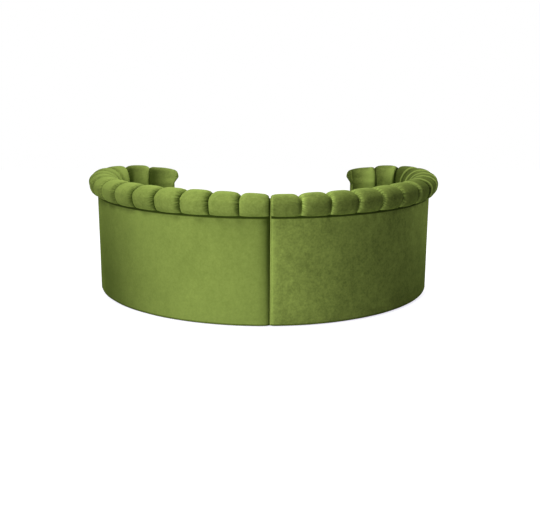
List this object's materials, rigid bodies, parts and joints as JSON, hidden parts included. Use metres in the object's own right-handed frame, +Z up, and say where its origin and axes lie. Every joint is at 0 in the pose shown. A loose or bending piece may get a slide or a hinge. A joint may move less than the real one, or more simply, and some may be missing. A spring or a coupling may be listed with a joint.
{
  "type": "curved dining sofa",
  "caption": "Two-module horseshoe dining sofa with a smooth velvet outer wall, a channel-tufted back and a rolled top, inward-turned arms and a seat round a table bay.",
  "frame": {"origin": "middle of the footprint on the floor: the centre of the bounding box's bottom face", "axes": "+X to the right along the joined modules' width, +Y from the round back towards the opening, +Z up"},
  "size_m": [2.7274, 1.7144, 0.893],
  "materials": {
    "velvet": "moss green cut-pile velvet with a soft sheen",
    "seat_velvet": "moss green cut-pile velvet over a foam seat",
    "plywood": "raw birch plywood",
    "webbing": "black elastic webbing",
    "dust_cloth": "black non-woven cloth",
    "nylon": "moulded nylon",
    "zinc_steel": "bright zinc plate"
  },
  "bodies": {
    "left_module": {"left_back_cover": "velvet", "left_back_shell": "plywood", "left_base_board": "plywood", "left_channel_01": "velvet", "left_channel_02": "velvet", "left_channel_03": "velvet", "left_channel_04": "velvet", "left_channel_05": "velvet", "left_channel_06": "velvet", "left_channel_07": "velvet", "left_channel_08": "velvet", "left_channel_09": "velvet", "left_channel_10": "velvet", "left_channel_11": "velvet", "left_channel_12": "velvet", "left_channel_13": "velvet", "left_channel_14": "velvet", "left_connector_screws": "zinc_steel", "left_connector_sockets": "zinc_steel", "left_dust_cover": "dust_cloth", "left_frame_ribs": "plywood", "left_glides": "nylon", "left_inner_panel": "plywood", "left_seat_cushion": "seat_velvet", "left_seat_deck": "plywood", "left_seat_front_board": "plywood", "left_seat_front_cover": "velvet", "left_side_panel": "velvet", "left_top_rail": "plywood", "left_webbing": "webbing"},
    "right_module": {"right_back_cover": "velvet", "right_back_shell": "plywood", "right_base_board": "plywood", "right_channel_01": "velvet", "right_channel_02": "velvet", "right_channel_03": "velvet", "right_channel_04": "velvet", "right_channel_05": "velvet", "right_channel_06": "velvet", "right_channel_07": "velvet", "right_channel_08": "velvet", "right_channel_09": "velvet", "right_channel_10": "velvet", "right_channel_11": "velvet", "right_channel_12": "velvet", "right_channel_13": "velvet", "right_channel_14": "velvet", "right_connector_screws": "zinc_steel", "right_connector_tongues": "zinc_steel", "right_dust_cover": "dust_cloth", "right_frame_ribs": "plywood", "right_glides": "nylon", "right_inner_panel": "plywood", "right_seat_cushion": "seat_velvet", "right_seat_deck": "plywood", "right_seat_front_board": "plywood", "right_seat_front_cover": "velvet", "right_side_panel": "velvet", "right_top_rail": "plywood", "right_webbing": "webbing"}
  },
  "joints": [
    {"name": "module_slide", "type": "slide", "parent": "left_module", "child": "right_module", "axis": [1, 0, 0], "range_m": [0, 0.3]}
  ]
}
